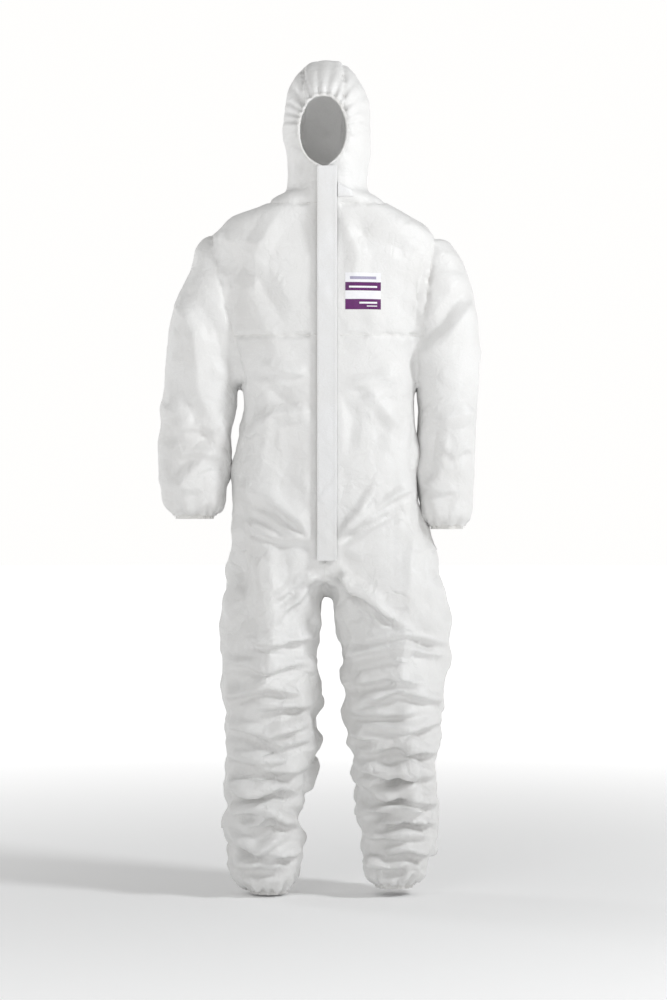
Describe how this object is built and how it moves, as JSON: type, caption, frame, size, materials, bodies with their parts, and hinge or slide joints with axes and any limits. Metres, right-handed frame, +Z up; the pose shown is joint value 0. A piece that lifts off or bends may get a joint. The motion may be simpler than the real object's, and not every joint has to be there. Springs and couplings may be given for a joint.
{
  "type": "chemical protective suit",
  "caption": "White hooded disposable coverall with a flap over its zip, an elasticated face opening, set-in sleeves and gathered wrists, waist and ankles.",
  "frame": {"origin": "middle of the neck, level with the side ends of the neck seam, where the suit hangs from the wearer's shoulders", "axes": "+Z up the standing suit, -Y out of its front, +X towards the wearer's left"},
  "size_m": [0.6932, 0.2506, 1.798],
  "materials": {
    "laminate": "white film on nonwoven, faint bonded grain",
    "hem_cloth": "gathered white laminate",
    "elastic": "matte",
    "zip_tape": "woven white",
    "zip_plastic": "satin white nylon",
    "slider_metal": "white enamel",
    "printed_label": "printed with plain bands and abstract marks",
    "size_label": "plain woven",
    "adhesive": "tacky, dull",
    "liner": "silicone coated paper"
  },
  "bodies": {
    "torso": {"right_front_yoke": "laminate", "left_front_yoke": "laminate", "right_front_panel": "laminate", "left_front_panel": "laminate", "upper_back_panel": "laminate", "right_back_panel": "laminate", "left_back_panel": "laminate", "crotch_gusset": "laminate", "waist_elastic": "elastic", "chest_label": "printed_label", "neck_label": "size_label", "chin_guard": "laminate", "zip_tape_left": "zip_tape", "zip_tape_right": "zip_tape", "zip_coil_left": "zip_plastic", "zip_coil_right": "zip_plastic", "zip_top_stops": "zip_plastic", "zip_bottom_stop": "zip_plastic"},
    "hood": {"hood_centre_panel": "laminate", "hood_right_panel": "laminate", "hood_left_panel": "laminate", "hood_centre_neck": "laminate", "hood_right_neck": "laminate", "hood_left_neck": "laminate", "face_hem": "hem_cloth", "face_elastic": "elastic"},
    "right_sleeve": {"right_sleeve": "laminate", "right_sleeve_cap": "laminate", "right_wrist_hem": "hem_cloth", "right_wrist_elastic": "elastic"},
    "left_sleeve": {"left_sleeve": "laminate", "left_sleeve_cap": "laminate", "left_wrist_hem": "hem_cloth", "left_wrist_elastic": "elastic"},
    "right_leg": {"right_leg_front": "laminate", "right_leg_back": "laminate", "right_thigh_front": "laminate", "right_thigh_back": "laminate", "right_ankle_hem": "hem_cloth", "right_ankle_elastic": "elastic"},
    "left_leg": {"left_leg_front": "laminate", "left_leg_back": "laminate", "left_thigh_front": "laminate", "left_thigh_back": "laminate", "left_ankle_hem": "hem_cloth", "left_ankle_elastic": "elastic"},
    "storm_flap": {"storm_flap": "laminate", "flap_adhesive": "adhesive", "flap_liner": "liner"},
    "zip_slider": {"zip_slider": "slider_metal"},
    "zip_pull": {"zip_pull": "slider_metal"}
  },
  "joints": [
    {"name": "hood_tilt", "type": "hinge", "parent": "torso", "child": "hood", "pos_m": [0, -0.04, 0.06], "axis": [-1, 0, 0], "range_deg": [0, 25], "deforming": ["hood_centre_neck", "hood_right_neck", "hood_left_neck"]},
    {"name": "right_sleeve_raise", "type": "hinge", "parent": "torso", "child": "right_sleeve", "pos_m": [-0.225, 0, -0.26], "axis": [0, 1, 0], "range_deg": [0, 30], "deforming": ["right_sleeve_cap"]},
    {"name": "left_sleeve_raise", "type": "hinge", "parent": "torso", "child": "left_sleeve", "pos_m": [0.215, 0, -0.26], "axis": [0, -1, 0], "range_deg": [0, 30], "deforming": ["left_sleeve_cap"]},
    {"name": "right_leg_swing", "type": "hinge", "parent": "torso", "child": "right_leg", "pos_m": [-0.12, 0, -0.84], "axis": [-1, 0, 0], "range_deg": [-10, 30], "deforming": ["right_thigh_front", "right_thigh_back"]},
    {"name": "left_leg_swing", "type": "hinge", "parent": "torso", "child": "left_leg", "pos_m": [0.13, 0, -0.84], "axis": [-1, 0, 0], "range_deg": [-10, 30], "deforming": ["left_thigh_front", "left_thigh_back"]},
    {"name": "flap_open", "type": "hinge", "parent": "torso", "child": "storm_flap", "pos_m": [0.025, -0.122, 0], "axis": [0, 0, 1], "range_deg": [0, 150]},
    {"name": "zip_slide", "type": "slide", "parent": "torso", "child": "zip_slider", "axis": [0, 0, -1], "range_m": [0, 0.81]},
    {"name": "pull_swing", "type": "hinge", "parent": "zip_slider", "child": "zip_pull", "pos_m": [0, -0.1209, 0.053], "axis": [-1, 0, 0], "range_deg": [0, 75]}
  ],
  "couplings": [
    {"joint": "pull_swing", "follows": "flap_open", "ratio": 0.5}
  ]
}
